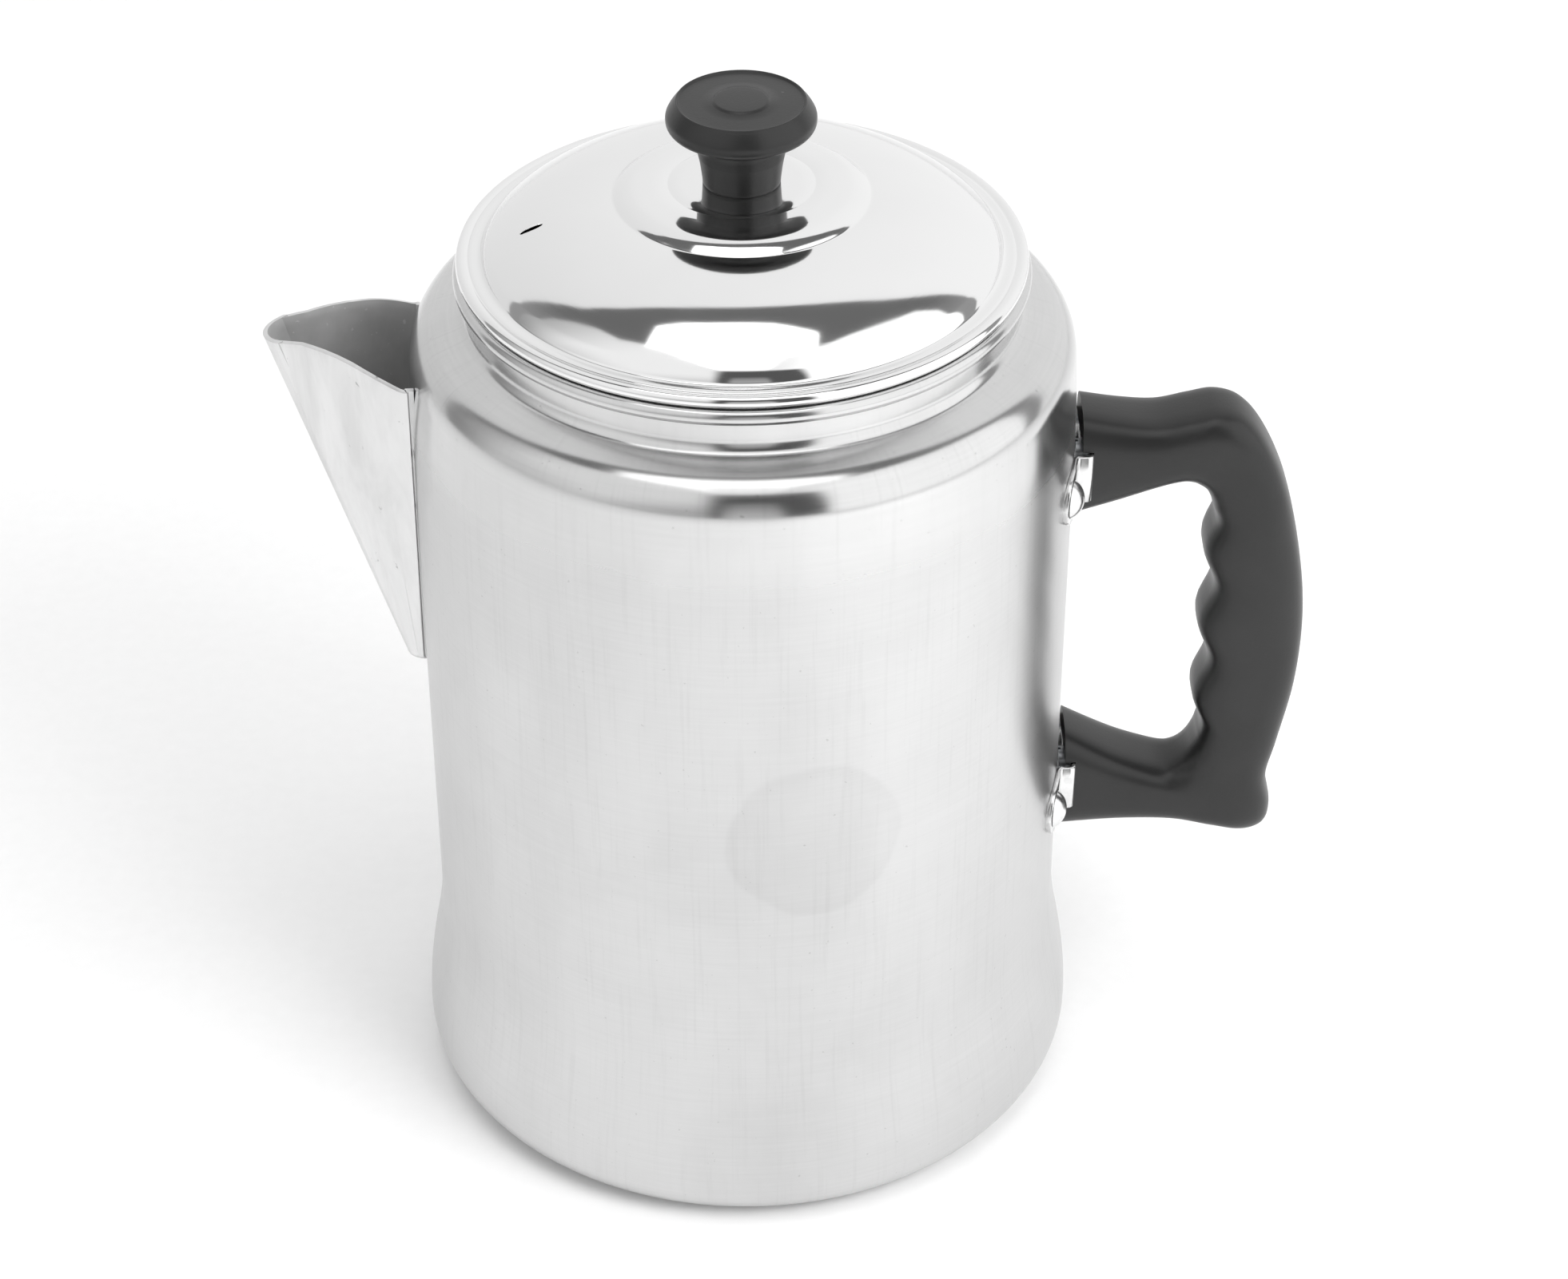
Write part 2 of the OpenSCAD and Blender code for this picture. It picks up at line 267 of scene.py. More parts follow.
class Tree:
    """Short calls that build shader nodes in one tree."""

    def __init__(self, tree):
        self.tree = tree

    def plug(self, value, socket):
        if isinstance(value, bpy.types.NodeSocket):
            self.tree.links.new(value, socket)
        else:
            socket.default_value = value

    def math(self, operation, a, b=0.0, c=0.0):
        node = self.tree.nodes.new("ShaderNodeMath")
        node.operation = operation
        for value, socket in zip((a, b, c), node.inputs):
            self.plug(value, socket)
        return node.outputs[0]

    def add(self, base, share, amount):
        """base + share times amount."""
        return self.math("ADD", base, self.math("MULTIPLY", share, amount))

    def length(self, a, b):
        """The length of the flat vector (a, b)."""
        return self.math("SQRT", self.math("ADD", self.math("MULTIPLY", a, a), self.math("MULTIPLY", b, b)))

    def join_axes(self, x, y, z):
        node = self.tree.nodes.new("ShaderNodeCombineXYZ")
        for value, socket in zip((x, y, z), node.inputs):
            self.plug(value, socket)
        return node.outputs[0]

    def position(self):
        return self.tree.nodes.new("ShaderNodeTexCoord").outputs["Object"]

    def axes(self):
        node = self.tree.nodes.new("ShaderNodeSeparateXYZ")
        self.tree.links.new(self.position(), node.inputs[0])
        return node.outputs

    def scaled(self, x, y, z):
        """Object coordinates, each axis times its own scale."""
        ax = self.axes()
        return self.join_axes(*(self.math("MULTIPLY", a, k) for a, k in zip(ax, (x, y, z))))

    def turned(self, around, along):
        """Coordinates wrapped round the axis: features are 1/around long and 1/along wide, in metres."""
        x, y, _ = self.axes()
        r = self.math("MAXIMUM", self.length(x, y), 1e-4)
        attribute = self.tree.nodes.new("ShaderNodeAttribute")
        attribute.attribute_name = "along"
        wall = WALL_R * MM * around
        return self.join_axes(self.math("MULTIPLY", self.math("DIVIDE", x, r), wall),
                              self.math("MULTIPLY", self.math("DIVIDE", y, r), wall),
                              self.math("MULTIPLY", attribute.outputs["Fac"], along))

    def noise(self, vector, scale, detail=2.0, roughness=0.5, distortion=0.0):
        node = self.tree.nodes.new("ShaderNodeTexNoise")
        self.plug(vector, node.inputs["Vector"])
        node.inputs["Scale"].default_value = scale
        node.inputs["Detail"].default_value = detail
        node.inputs["Roughness"].default_value = roughness
        node.inputs["Distortion"].default_value = distortion
        return node.outputs["Fac"]

    def between(self, value, low, high, out_low=0.0, out_high=1.0):
        """The value's way from low to high, smoothed, mapped to the out values and held there."""
        node = self.tree.nodes.new("ShaderNodeMapRange")
        node.interpolation_type = "SMOOTHSTEP"
        for given, socket in zip((value, low, high, out_low, out_high), node.inputs):
            self.plug(given, socket)
        return node.outputs[0]

    def mix(self, share, one, two):
        node = self.tree.nodes.new("ShaderNodeMix")
        node.data_type = "RGBA"
        self.plug(share, node.inputs[0])
        self.plug(one, node.inputs[6])
        self.plug(two, node.inputs[7])
        return node.outputs[2]


class Nodes(Tree):
    """A material's nodes, around one Principled shader. Even values are set on the shader itself."""

    def __init__(self, name, **values):
        self.material = bpy.data.materials.new(name)
        self.material.use_nodes = True
        super().__init__(self.material.node_tree)
        self.tree.nodes.clear()
        output = self.tree.nodes.new("ShaderNodeOutputMaterial")
        self.shader = self.tree.nodes.new("ShaderNodeBsdfPrincipled")
        self.tree.links.new(self.shader.outputs[0], output.inputs[0])
        for key, value in values.items():
            self.shader.inputs[key.replace("_", " ")].default_value = value

    def bump(self, height, distance):
        node = self.tree.nodes.new("ShaderNodeBump")
        node.inputs["Distance"].default_value = distance
        node.inputs["Strength"].default_value = 1.0
        self.plug(height, node.inputs["Height"])
        self.tree.links.new(node.outputs[0], self.shader.inputs["Normal"])

    def brushed_round(self):
        """Turns the stretch of the highlights across lines that run round the Z axis."""
        tangent = self.tree.nodes.new("ShaderNodeTangent")
        tangent.direction_type = "RADIAL"
        tangent.axis = "Z"
        self.tree.links.new(tangent.outputs[0], self.shader.inputs["Tangent"])

    def give(self, socket, value):
        self.plug(value, self.shader.inputs[socket])


def grey(level):
    """A colour with the same red, green and blue."""
    return (level, level, level, 1.0)


def oval_mask(n, angle, height, half_width, half_height, edge):
    """1 inside an uneven oval on the wall, and how far out from its centre each place is, 1 at its edge.

    The centre is at an angle about Z and a height, and edge is how soft the edge is."""
    x, y, z = n.axes()
    a = math.radians(angle)
    across = n.math("SUBTRACT", n.math("MULTIPLY", y, math.cos(a)), n.math("MULTIPLY", x, math.sin(a)))
    front = n.math("ADD", n.math("MULTIPLY", x, math.cos(a)), n.math("MULTIPLY", y, math.sin(a)))
    u = n.math("DIVIDE", across, half_width * MM)
    v = n.math("DIVIDE", n.math("SUBTRACT", z, height * MM), half_height * MM)
    wander = n.math("SUBTRACT", n.noise(n.position(), 55, 2), 0.5)
    reach = n.add(n.length(u, v), wander, 0.25)
    inside = n.between(reach, 1 + edge, 1 - edge)
    return n.math("MULTIPLY", inside, n.math("GREATER_THAN", front, 0.0)), reach


# ---------------------------------------------------------------- materials

def satin_aluminium():
    """The body's outside: fine turned lines, faint upright draw lines, smears, pits and a dried stain.

    The shoulder is more polished than the wall."""
    n = Nodes("satin_aluminium", Metallic=1.0, Anisotropic=0.55, Anisotropic_Rotation=0.25)
    n.brushed_round()
    lines = n.noise(n.turned(45, 1500), 1, 3, 0.65)
    draws = n.noise(n.turned(900, 28), 1, 3, 0.6)
    smears = n.noise(n.scaled(26, 26, 15), 1, 4, 0.6, 0.4)
    stain, reach = oval_mask(n, angle=-78.4, height=111.5, half_width=20, half_height=21, edge=0.04)
    ring = n.math("MULTIPLY", n.between(reach, 0.72, 0.97), stain)
    pits = n.between(n.noise(n.position(), 900, 1, 0.4), 0.765, 0.80)
    level = n.add(0.665, n.between(smears, 0.2, 0.8), -0.05)
    level = n.add(level, n.math("SUBTRACT", lines, 0.5), 0.06)
    level = n.add(level, n.between(draws, 0.5, 0.75), -0.025)
    level = n.add(level, stain, -0.012)
    level = n.add(level, ring, -0.014)
    level = n.add(level, pits, -0.10)
    n.give("Base Color", n.join_axes(level, level, level))
    rough = n.add(0.285, lines, 0.04)
    rough = n.add(rough, n.between(smears, 0.3, 0.75), 0.04)
    rough = n.add(rough, stain, 0.03)
    shoulder = n.between(n.axes()[2], 0.176, 0.190)
    n.give("Roughness", n.add(rough, shoulder, -0.14))
    n.bump(lines, 0.0000006)
    return n.material


def polished_aluminium():
    """The lid: bright, with faint rings left by polishing and a few wiping marks."""
    n = Nodes("polished_aluminium", Metallic=1.0, Anisotropic=0.3, Anisotropic_Rotation=0.25)
    n.brushed_round()
    lines = n.noise(n.turned(30, 3000), 1, 3, 0.6)
    wipes = n.noise(n.scaled(18, 18, 18), 1, 4, 0.55, 0.6)
    level = n.add(0.87, n.between(wipes, 0.35, 0.7), -0.02)
    n.give("Base Color", n.join_axes(level, level, level))
    rough = n.add(0.045, lines, 0.05)
    n.give("Roughness", n.add(rough, n.between(wipes, 0.4, 0.75), 0.04))
    n.bump(lines, 0.0000012)
    return n.material


def inner_aluminium():
    """Inside the body: duller, with the lines of the spinning tool."""
    n = Nodes("inner_aluminium", Metallic=1.0)
    lines = n.noise(n.turned(20, 1200), 1, 3, 0.6)
    cloud = n.noise(n.position(), 35, 4, 0.6)
    n.give("Base Color", n.mix(n.between(cloud, 0.3, 0.7), grey(0.60), grey(0.72)))
    n.give("Roughness", n.add(0.33, lines, 0.15))
    n.bump(lines, 0.00001)
    return n.material


def spout_aluminium():
    """The spout's outside: unpolished sheet with rub marks along it and dark scratches."""
    n = Nodes("spout_aluminium", Metallic=1.0)
    grain = n.noise(n.scaled(900, 900, 60), 1, 3, 0.6)
    rubs = n.noise(n.scaled(90, 90, 14), 1, 4, 0.65, 0.5)
    specks = n.between(n.noise(n.scaled(420, 420, 260), 1, 2, 0.5), 0.70, 0.78)
    level = n.add(0.76, n.between(rubs, 0.3, 0.75), -0.12)
    level = n.add(level, specks, -0.30)
    n.give("Base Color", n.join_axes(level, level, level))
    n.give("Roughness", n.add(0.26, grain, 0.16))
    n.bump(n.math("ADD", grain, rubs), 0.00001)
    return n.material


def dull_aluminium_painted_shade():
    """The spout's inside: matt grey with a few light specks, the grey made darker than the sheet's own as
    painted shade for the hollow.
    """
    n = Nodes("dull_aluminium_painted_shade", Metallic=0.45)
    cloud = n.noise(n.position(), 60, 4, 0.6)
    specks = n.between(n.noise(n.position(), 800, 1, 0.4), 0.70, 0.78)
    # These two greys are darker than the metal's own: painted shade inside the spout, with random cloud on
    # top.
    base = n.mix(n.between(cloud, 0.3, 0.7), grey(0.42), grey(0.52))
    n.give("Base Color", n.mix(specks, base, grey(0.6)))
    n.give("Roughness", n.add(0.45, cloud, 0.2))
    n.bump(cloud, 0.00003)
    return n.material


def moulded_black():
    """Black phenolic plastic: a fine pebble, a slight flow and small light nicks."""
    n = Nodes("moulded_black", Metallic=0.0, IOR=1.47)
    pebble = n.noise(n.position(), 1500, 2, 0.6)
    flow = n.noise(n.position(), 45, 3, 0.5, 0.3)
    nicks = n.between(n.noise(n.position(), 330, 1, 0.4), 0.80, 0.83)
    base = n.mix(n.between(flow, 0.3, 0.7), grey(0.011), grey(0.016))
    n.give("Base Color", n.mix(nicks, base, grey(0.08)))
    n.give("Roughness", n.add(0.30, flow, 0.10))
    n.bump(n.add(pebble, flow, 0.8), 0.00002)
    return n.material


def small_metal(name, colour, roughness, grain_scale):
    """Brass, steel or aluminium on a small fixing: fine grain and slight tarnish."""
    n = Nodes(name, Metallic=1.0)
    grain = n.noise(n.position(), grain_scale, 3, 0.6)
    tarnish = n.noise(n.position(), 260, 3, 0.6)
    dark = tuple(c * 0.72 for c in colour) + (1.0,)
    n.give("Base Color", n.mix(n.between(tarnish, 0.35, 0.8), tuple(colour) + (1.0,), dark))
    n.give("Roughness", n.add(roughness, grain, 0.15))
    n.bump(grain, 0.000006)
    return n.material


def collar_aluminium():
    """The lid's collar: plain rolled sheet with fine lines round it."""
    n = Nodes("collar_aluminium", Metallic=1.0)
    lines = n.noise(n.scaled(40, 40, 3000), 1, 3, 0.6)
    n.give("Base Color", n.mix(lines, grey(0.78), grey(0.86)))
    n.give("Roughness", n.add(0.2, lines, 0.12))
    n.bump(lines, 0.000006)
    return n.material


def pale_floor():
    """A plain pale floor with a very fine, even grain."""
    n = Nodes("pale_floor", Metallic=0.0)
    grain = n.noise(n.position(), 220, 3, 0.6)
    n.give("Base Color", n.mix(grain, grey(0.86), grey(0.90)))
    n.give("Roughness", n.add(0.75, grain, 0.1))
    return n.material


# ---------------------------------------------------------------- body

def body_outside():
    """From the middle of the base, round the foot and up to the underside of the bead."""
    base_z = 2.0
    foot_r, foot_rx, foot_rz = 79.6, 10.2, 9.8
    flare_top, taper_z = 49, 174.6
    round_r, round_c, slope = 9.5, (64.8, 195.6), 70
    round_x = round_c[0] + round_r
    neck_round = 3
    across, up = math.cos(math.radians(slope)), math.sin(math.radians(slope))
    straight = (round_x - NECK_R - (round_r + neck_round) * (1 - across)) / up
    neck_z = round_c[1] + (round_r + neck_round) * up + straight * across
    line = [(0, base_z), (20, base_z), (40, base_z), (56.5, base_z)]
    line += curve([(57.6, 1.95), (58.6, 1.3), (60.0, 0.25), (61.6, 0.0)], 3)
    line += [(65, 0.0)]
    line += arc((foot_r - foot_rx, foot_rz), (foot_rx, foot_rz), -90, 0, 20)
    for i in range(1, 25):
        t = i / 24
        line.append((foot_r - (foot_r - WALL_R) * (1 - math.cos(math.pi * t)) / 2,
                     foot_rz + (flare_top - foot_rz) * t))
    line += [(WALL_R, z) for z in (60, 80, 100, 120, 140, 160)]
    line += curve([(WALL_R, taper_z), (WALL_R - 0.15, 185), (round_x, round_c[1])], 5)[:-1]
    line += arc(round_c, (round_r, round_r), 0, slope, 20)
    line += arc((NECK_R + neck_round, neck_z), (neck_round, neck_round), 180 + slope, 180, 8)
    return line


def make_body():
    outside = body_outside()
    base_z = outside[0][1]
    bead_x, bead_z, bead_r = BEAD
    inside = offset(outside, SHEET)
    under = math.degrees(math.acos((NECK_R - bead_x) / bead_r))
    within = math.degrees(math.acos((NECK_R - SHEET - bead_x) / bead_r))
    bead = arc((bead_x, bead_z), (bead_r, bead_r), -under, 360 - within, 36)
    inner_top = (NECK_R - SHEET, bead[-1][1])
    outline = outside + bead + [inner_top] + inside[:0:-1] + [(0, base_z + SHEET)]
    body = lathe("pot_body", outline)
    cut(body, strainer_cutters())
    body.data.materials.append(satin_aluminium())
    body.data.materials.append(inner_aluminium())
    for face in body.data.polygons:
        face.material_index = 1 if is_inside(face, bead_z - bead_r) else 0
    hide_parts("body_shell")
    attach(body, "pot")


def is_inside(face, below):
    """Whether a face of the body is on its inside, lower down than a height in millimetres."""
    radius = math.hypot(face.center.x, face.center.y)
    height = face.center.z / MM
    outwards = face.center.x * face.normal.x + face.center.y * face.normal.y
    within_neck = radius < NECK_R * MM
    on_base = within_neck and height < 20 and face.normal.z > 0.5
    under_shoulder = within_neck and height > 190 and face.normal.z < 0
    return height < below and (outwards < -0.2 * radius or on_base or under_shoulder)


def strainer_cutters():
    """Rows of round holes behind the spout, each row as wide as the spout leaves room for."""
    hole_r, top, rows, step, gap = 1.8, 184.6, 8, 8, 7
    widest, narrowing = 5, 0.6
    turns = [2 * math.pi * i / 20 for i in range(20)]
    cutters = []
    for row in range(rows):
        count = max(1, widest - int(row * narrowing))
        for k in range(count):
            angle = math.pi + (k - (count - 1) / 2) * gap / WALL_R
            out = Vector((math.cos(angle), math.sin(angle), 0))
            side = Vector((-out.y, out.x, 0))
            rings = []
            for reach in (WALL_R - 4, WALL_R + 2):
                centre = out * reach + Vector((0, 0, top - row * step))
                rings.append([
                    tuple(centre + side * (hole_r * math.cos(t)) + Vector((0, 0, hole_r * math.sin(t))))
                    for t in turns])
            cutters.append(skin("cutter", rings))
    return [join("cutters", cutters)]


# ---------------------------------------------------------------- lid

# The crown is an arc of this radius between two points of (radius, height)
CROWN_FROM = (28.1, 233.5)
CROWN_TO = (55.26, 223.07)
CROWN_R = 44.7


def make_lid():
    sheet = 1.0
    curl_c, curl_r, under_z, crease_r = (61.5, 218.7), 1.4, 219.4, 57.2
    edge_r, slope_from, slope_to = 7.35, 40, 65
    seat_flat, seat_edge = (9, SEAT_Z), (22.5, 235.85)
    ring_r = 16.1
    slope = (seat_edge[1] - SEAT_Z) / (seat_edge[0] - seat_flat[0])
    ring_z = SEAT_Z + slope * (ring_r - seat_flat[0])
    seat = [(0.0, SEAT_Z), (2, SEAT_Z), (6, SEAT_Z), seat_flat, (13, SEAT_Z + slope * 4)]
    seat += [(ring_r - 0.4, ring_z + 0.02), (ring_r - 0.12, ring_z - 0.16), (ring_r + 0.12, ring_z - 0.16),
             (ring_r + 0.4, ring_z - 0.03), (20, SEAT_Z + slope * 11)]
    seat += curve([seat_edge, (23.5, 235.72), (24.5, 235.49), (25.9, 234.92), (27.0, 234.28),
                   (28.0, 233.56)], 4)
    edge_c = (CROWN_TO[0] - edge_r * math.sin(math.radians(slope_from)),
              CROWN_TO[1] - edge_r * math.cos(math.radians(slope_from)))
    top = seat + chord_arc(CROWN_FROM, CROWN_TO, CROWN_R, 60)
    top += arc(edge_c, (edge_r, edge_r), 90 - slope_from, 90 - slope_to, 12)[1:]
    rim_from = (crease_r, 220.55)
    rim = curve([(57.5, 220.2), (58.0, 220.02), (59.2, 220.0)], 3)
    rim += [(59.9, 220.0), (60.1, 219.86), (60.35, 219.88), (60.5, 220.0)]
    curl_end = -180 - math.degrees(math.asin((under_z - curl_c[1]) / curl_r))
    curl = arc(curl_c, (curl_r, curl_r), 95, curl_end, 40)
    below = [p for p in offset(top, -sheet) if p[1] > under_z + 0.15]
    outline = top + [rim_from] + rim + curl + [(crease_r - sheet, under_z)] + below[::-1]
    outline[-1] = (0.0, SEAT_Z - sheet)
    lid = lathe("lid_dome", outline)
    cut(lid, [vent_cutter()])
    lid = join("lid_dome", [lid, vent_lip()])
    shade(lid, 35)
    lid.data.materials.append(polished_aluminium())
    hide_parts("lid_shell")
    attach(lid, "lid")


# The vent's middle, and half of its length along X and of its width along Y
VENT_AT = (-45.6, -7.1, 229.0)
VENT_HALF = (2.5, 0.7)


def vent_cutter():
    """A slot with round ends, through the crown."""
    x, y, z = VENT_AT
    half_length, half_width = VENT_HALF
    rings = []
    for up in (-7, 7):
        ring = []
        for k in range(24):
            t = 2 * math.pi * k / 24
            shift = math.copysign(half_length - half_width, math.cos(t))
            ring.append((x + shift + half_width * math.cos(t), y + half_width * math.sin(t), z + up))
        rings.append(ring)
    return skin("cutter", rings)


def crown_height(x, y):
    """Height of the crown's outside at a point, from its arc."""
    cx, cz = arc_centre(CROWN_FROM, CROWN_TO, CROWN_R)
    return cz + math.sqrt(CROWN_R ** 2 - (math.hypot(x, y) - cx) ** 2)


def vent_lip():
    """A small hood of sheet, pushed up behind the slot and open towards the front."""
    section = [(1.35, -0.30), (1.05, 0.25), (0.6, 0.7), (-0.1, 1.0), (-0.25, 0.8), (0.45, 0.4),
               (0.85, -0.05), (1.1, -0.45)]
    half_length = VENT_HALF[0]
    end = half_length * 0.98
    steps = 14
    rings = []
    for i in range(steps + 1):
        along = -end + 2 * end * i / steps
        rise = 0.62 * math.sqrt(max(0.0, 1 - (along / half_length) ** 2)) + 0.04
        ring = []
        for across, up in section:
            x, y = VENT_AT[0] + along, VENT_AT[1] + across * (0.5 + rise)
            ring.append((x, y, crown_height(x, y) - 0.25 + rise * up * 0.9 + (0.2 if up > 0 else 0.0)))
        rings.append(ring)
    return skin("vent_lip", rings, 60)


# ---------------------------------------------------------------- knob

def make_knob():
    radius, height = 16.35, 19.6
    skirt = [(8.55, 1.0), (9.0, 4.5), (9.5, 7.0)]
    rim = [(14.6, 12.9), (15.6, 13.35), (16.2, 14.2), (radius, 15.2), (16.2, 16.2), (15.5, 17.5),
           (14.7, 18.6), (14.3, 19.05)]
    rim_groove = [(14.15, 19.3), (13.95, 19.38), (13.7, 19.2), (13.45, 18.95), (13.1, 18.9)]
    boss = [(6.4, 19.12), (6.1, 19.3), (5.8, height - 0.1), (5.4, height - 0.05)]
    line = [(0.0, 0.0), (8.3, 0.0), (8.5, 0.25)]
    line += curve(skirt, 4) + arc((14.6, 8.2), (5.1, 4.5), 180, 100, 12) + curve(rim, 4)
    line += curve(rim_groove, 3) + [(12, 18.93), (9, 19.05)] + curve(boss, 3)
    line += [(3, height), (0.0, height)]
    outline = [(x, SEAT_Z + z) for x, z in line]
    knob = lathe("lid_knob", outline, 128, 50)
    knob.data.materials.append(moulded_black())
    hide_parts("knob")
    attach(knob, "lid")


# ---------------------------------------------------------------- handle

# Each rib of the handle: its point on the outer outline, then the one on the inner outline, as (x, z)
HANDLE_RIBS = [
    ((76.4, 179.2), (76.4, 152.8)), ((85, 177.6), (85, 156)), ((93.5, 176.8), (93.5, 159.4)),
    ((101, 178.4), (97.5, 160.7)), ((107.5, 179.6), (100.5, 161.1)), ((113.5, 177.4), (103.2, 160.3)),
    ((119, 170.4), (105.9, 157.8)), ((124.4, 158), (107.7, 151.5)), ((128.6, 140.5), (107.7, 137)),
    ((130.9, 122.5), (107.7, 121)), ((130.4, 103.5), (107.7, 105.5)), ((127.6, 86.5), (107.9, 93.3)),
    ((125.7, 76), (108.3, 87.7)), ((127.2, 67), (106.8, 83.6)), ((126.2, 61.6), (104.9, 80.9)),
    ((121.5, 59.6), (102.8, 79.3)), ((114, 61), (100.2, 78.5)), ((103.5, 63.3), (96.3, 79.4)),
    ((90, 63.2), (88, 83)), ((76.4, 61.6), (76.4, 89.6))]
# Half its thickness, and the power that makes its section a rounded box rather than an ellipse
HANDLE_HALF = 10
HANDLE_POWER = 3.3
# The finger bumps: the height of their middle, their pitch, their depth, and how far up and down they go
FINGERS = (120.6, 21, 1.5, 30)
# The grip's inner side, where the finger bumps are, is further out than this
GRIP_X = 104


def finger_bulge(z):
    """How far the grip's inner side stands out between the fingers, fading at both ends."""
    middle, pitch, depth, reach = FINGERS
    fade = min(1.0, max(0.0, (reach + 3 - abs(z - middle)) / 6))
    return depth * math.cos(2 * math.pi * (z - middle) / pitch) * fade


def squared(value):
    """A sine or cosine, stretched so that a circle of them becomes a rounded box."""
    return math.copysign(abs(value) ** (2 / HANDLE_POWER), value)


def make_handle():
    ribs = curve([outer + inner for outer, inner in HANDLE_RIBS], 8)
    rings = []
    for ox, oz, ix, iz in ribs:
        if ix > GRIP_X:
            ix -= finger_bulge(iz)
        centre = Vector(((ox + ix) / 2, (oz + iz) / 2))
        half = Vector(((ox - ix) / 2, (oz - iz) / 2))
        ring = []
        for k in range(48):
            t = 2 * math.pi * k / 48
            point = centre + half * squared(math.cos(t))
            ring.append((point.x, HANDLE_HALF * squared(math.sin(t)), point.y))
        rings.append(ring)
    handle = skin("pot_handle", rings, 60)
    slot_x, slot_half = PLATE_X + STRAP_T / 2, STRAP_H / 2 + 0.2
    cutters = [box_cutter((70, -20, z - slot_half), (slot_x, 20, z + slot_half)) for z in (UPPER_Z, LOWER_Z)]
    cut(handle, [join("cutters", cutters)], 60)
    handle.data.materials.append(moulded_black())
    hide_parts("handle")
    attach(handle, "pot")


def make_bracket(name, node, height):
    """A bent strap: round-ended ears on the wall, and legs out to a flat seat in the handle's end."""
    radius = WALL_R + STRAP_T / 2
    leg_y, bend = 11.1, 1.4
    chamfer = 0.22
    tip_half = 0.4
    ear_end = math.asin(EAR_Y / radius) + STRAP_H / 2 / radius
    leg_start = math.asin((leg_y + bend) / radius)
    half = [(radius * math.cos(a), radius * math.sin(a))
            for a in (ear_end + (leg_start - ear_end) * (i / 24) for i in range(25))]
    corner = (math.sqrt(radius ** 2 - leg_y ** 2) + 0.1, leg_y)
    half += soften([half[-1], corner, (PLATE_X, leg_y), (PLATE_X, 0)], 1.1, 4)[1:-1]
    path = half + [(x, -y) for x, y in reversed(half)]
    total = sum(math.dist(a, b) for a, b in zip(path, path[1:]))
    rings = []
    gone = 0.0
    for i, (x, y) in enumerate(path):
        if i:
            gone += math.dist(path[i - 1], path[i])
        from_end = min(gone, total - gone)
        tall = STRAP_H / 2
        if from_end < tall:
            tall = max(math.sqrt(tall ** 2 - (tall - from_end) ** 2), tip_half)
        before, after = path[max(i - 1, 0)], path[min(i + 1, len(path) - 1)]
        size = math.dist(before, after)
        nx, ny = -(after[1] - before[1]) / size, (after[0] - before[0]) / size
        t, c = STRAP_T / 2, chamfer
        section = [(-t, c - tall), (c - t, -tall), (t - c, -tall), (t, c - tall),
                   (t, tall - c), (t - c, tall), (c - t, tall), (-t, tall - c)]
        rings.append([(x + nx * out, y + ny * out, height + up) for out, up in section])
    bracket = skin(name, rings, 50)
    bracket.data.materials.append(small_metal("bright_strap", (0.86, 0.86, 0.86), 0.14, 700))
    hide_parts(node)
    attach(bracket, "pot")


# ---------------------------------------------------------------- spout

# The nose's place, the rim's height at the wall and at the nose, and how far it arches up between them
SPOUT_TIP_X = -106.7
SPOUT_RIM = (195.0, 199.2)
SPOUT_ARCH = 2.8
# The rounded lower end as (x, height, radius), and the angle from which a fold looks sharp
SPOUT_BOTTOM = (-77.2, 112.2, 2.7)
SPOUT_CREASE = 24


def spout_section():
    """Half of the spout's plan at its rim and at its foot, from the wall round to the nose.

    Both have as many points: the lip that is welded to the wall, the side, and the round nose."""
    wall_y = 19.8
    top = [(-math.sqrt(WALL_R ** 2 - (wall_y - 1.0) ** 2) + 0.4, wall_y - 1.0),
           (-73.3, wall_y - 0.9), (-73.55, wall_y - 0.1)]
    lip = len(top)
    top += curve([(-74.2, 19.55), (-77, 18.8), (-80.5, 17.45), (-83.8, 15.75), (-86.5, 14.0)], 4)
    top += [(-89.5, 12.25), (-92.5, 10.5), (-95.5, 8.75)]
    nose_r = 6.6
    nose = arc((SPOUT_TIP_X + nose_r, 0), (nose_r, nose_r), 118, 180, 12)
    top += curve([(-97.6, 7.5)] + nose[:2], 3)[:-1] + nose[1:]

    last = len(top) - 1
    side_end = 14
    foot_x, _, foot_r = SPOUT_BOTTOM
    side_x, side_y = -75.9, 3.1
    foot = [(-74.6, 2.2), (-75.6, 2.3), (-75.8, 3.0)]
    for k in range(side_end - lip):
        foot.append((side_x + (foot_x - side_x) * k / (side_end - lip),
                     side_y + (foot_r - side_y) * k / (last - lip)))
    foot += arc((foot_x, 0), (foot_r, foot_r), 90, 180, last - side_end)
    return top, foot


